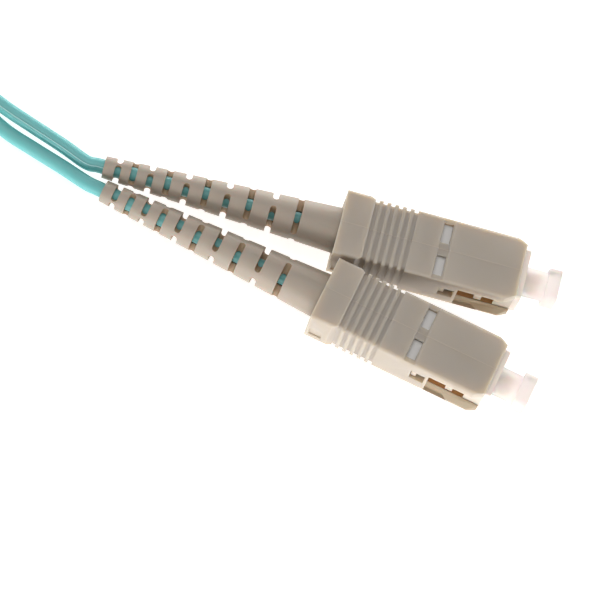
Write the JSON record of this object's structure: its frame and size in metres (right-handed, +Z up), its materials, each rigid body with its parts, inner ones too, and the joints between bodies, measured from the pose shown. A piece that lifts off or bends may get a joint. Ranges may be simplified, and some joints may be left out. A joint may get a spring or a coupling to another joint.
{
  "type": "fiber optic patch cord",
  "caption": "Duplex fibre optic patch cord with ribbed push-pull plugs, slotted bend-relief boots, dust caps and a coiled aqua zip cord",
  "frame": {"origin": "on the floor, under the middle of the box of the near pair of plugs", "axes": "+X along the near pair, towards its dust caps; +Z up; +Y towards plug a"},
  "size_m": [0.1517, 0.05, 0.0169],
  "materials": {
    "beige_plastic": "moulded, satin",
    "beige_boot": "moulded soft plastic, satin",
    "zirconia": "polished",
    "nickel": "turned, nickel plated",
    "steel_wire": "drawn wire",
    "buffer": "extruded",
    "aqua_jacket": "extruded, soft sheen",
    "cap_plastic": "moulded, milky translucent"
  },
  "bodies": {
    "root": {"plug_frame_a": "beige_plastic", "spring_a": "steel_wire", "back_body_a": "nickel", "crimp_sleeve_a": "nickel", "fibre_a": "buffer", "jacket_a": "aqua_jacket", "boot_a": "beige_boot", "plug_frame_b": "beige_plastic", "spring_b": "steel_wire", "back_body_b": "nickel", "crimp_sleeve_b": "nickel", "fibre_b": "buffer", "jacket_b": "aqua_jacket", "boot_b": "beige_boot", "plug_frame_c": "beige_plastic", "spring_c": "steel_wire", "back_body_c": "nickel", "crimp_sleeve_c": "nickel", "fibre_c": "buffer", "jacket_c": "aqua_jacket", "boot_c": "beige_boot", "plug_frame_d": "beige_plastic", "spring_d": "steel_wire", "back_body_d": "nickel", "crimp_sleeve_d": "nickel", "fibre_d": "buffer", "jacket_d": "aqua_jacket", "boot_d": "beige_boot", "leg_a": "aqua_jacket", "leg_b": "aqua_jacket", "leg_c": "aqua_jacket", "leg_d": "aqua_jacket", "zip_cord": "aqua_jacket"},
    "housing_a": {"outer_housing_a": "beige_plastic"},
    "ferrule_group_a": {"ferrule_a": "zirconia", "ferrule_holder_a": "nickel"},
    "cap_a": {"dust_cap_a": "cap_plastic"},
    "housing_b": {"outer_housing_b": "beige_plastic"},
    "ferrule_group_b": {"ferrule_b": "zirconia", "ferrule_holder_b": "nickel"},
    "cap_b": {"dust_cap_b": "cap_plastic"},
    "housing_c": {"outer_housing_c": "beige_plastic"},
    "ferrule_group_c": {"ferrule_c": "zirconia", "ferrule_holder_c": "nickel"},
    "cap_c": {"dust_cap_c": "cap_plastic"},
    "housing_d": {"outer_housing_d": "beige_plastic"},
    "ferrule_group_d": {"ferrule_d": "zirconia", "ferrule_holder_d": "nickel"},
    "cap_d": {"dust_cap_d": "cap_plastic"}
  },
  "joints": [
    {"name": "housing_a_pull", "type": "slide", "parent": "root", "child": "housing_a", "axis": [0.9952, 0.0976, 0], "range_m": [-0.0012, 0]},
    {"name": "ferrule_a_float", "type": "slide", "parent": "root", "child": "ferrule_group_a", "axis": [0.9952, 0.0976, 0], "range_m": [-0.0008, 0], "stiffness_N_per_m": 100, "deforming": ["spring_a"]},
    {"name": "cap_a_pull_off", "type": "slide", "parent": "ferrule_group_a", "child": "cap_a", "axis": [0.9952, 0.0976, 0], "range_m": [0, 0.009]},
    {"name": "housing_b_pull", "type": "slide", "parent": "root", "child": "housing_b", "axis": [0.9952, -0.0976, 0], "range_m": [-0.0012, 0]},
    {"name": "ferrule_b_float", "type": "slide", "parent": "root", "child": "ferrule_group_b", "axis": [0.9952, -0.0976, 0], "range_m": [-0.0008, 0], "stiffness_N_per_m": 100, "deforming": ["spring_b"]},
    {"name": "cap_b_pull_off", "type": "slide", "parent": "ferrule_group_b", "child": "cap_b", "axis": [0.9952, -0.0976, 0], "range_m": [0, 0.009]},
    {"name": "housing_c_pull", "type": "slide", "parent": "root", "child": "housing_c", "axis": [0.9952, 0.0976, 0], "range_m": [-0.0012, 0]},
    {"name": "ferrule_c_float", "type": "slide", "parent": "root", "child": "ferrule_group_c", "axis": [0.9952, 0.0976, 0], "range_m": [-0.0008, 0], "stiffness_N_per_m": 100, "deforming": ["spring_c"]},
    {"name": "cap_c_pull_off", "type": "slide", "parent": "ferrule_group_c", "child": "cap_c", "axis": [0.9952, 0.0976, 0], "range_m": [0, 0.009]},
    {"name": "housing_d_pull", "type": "slide", "parent": "root", "child": "housing_d", "axis": [0.9952, -0.0976, 0], "range_m": [-0.0012, 0]},
    {"name": "ferrule_d_float", "type": "slide", "parent": "root", "child": "ferrule_group_d", "axis": [0.9952, -0.0976, 0], "range_m": [-0.0008, 0], "stiffness_N_per_m": 100, "deforming": ["spring_d"]},
    {"name": "cap_d_pull_off", "type": "slide", "parent": "ferrule_group_d", "child": "cap_d", "axis": [0.9952, -0.0976, 0], "range_m": [0, 0.009]}
  ]
}
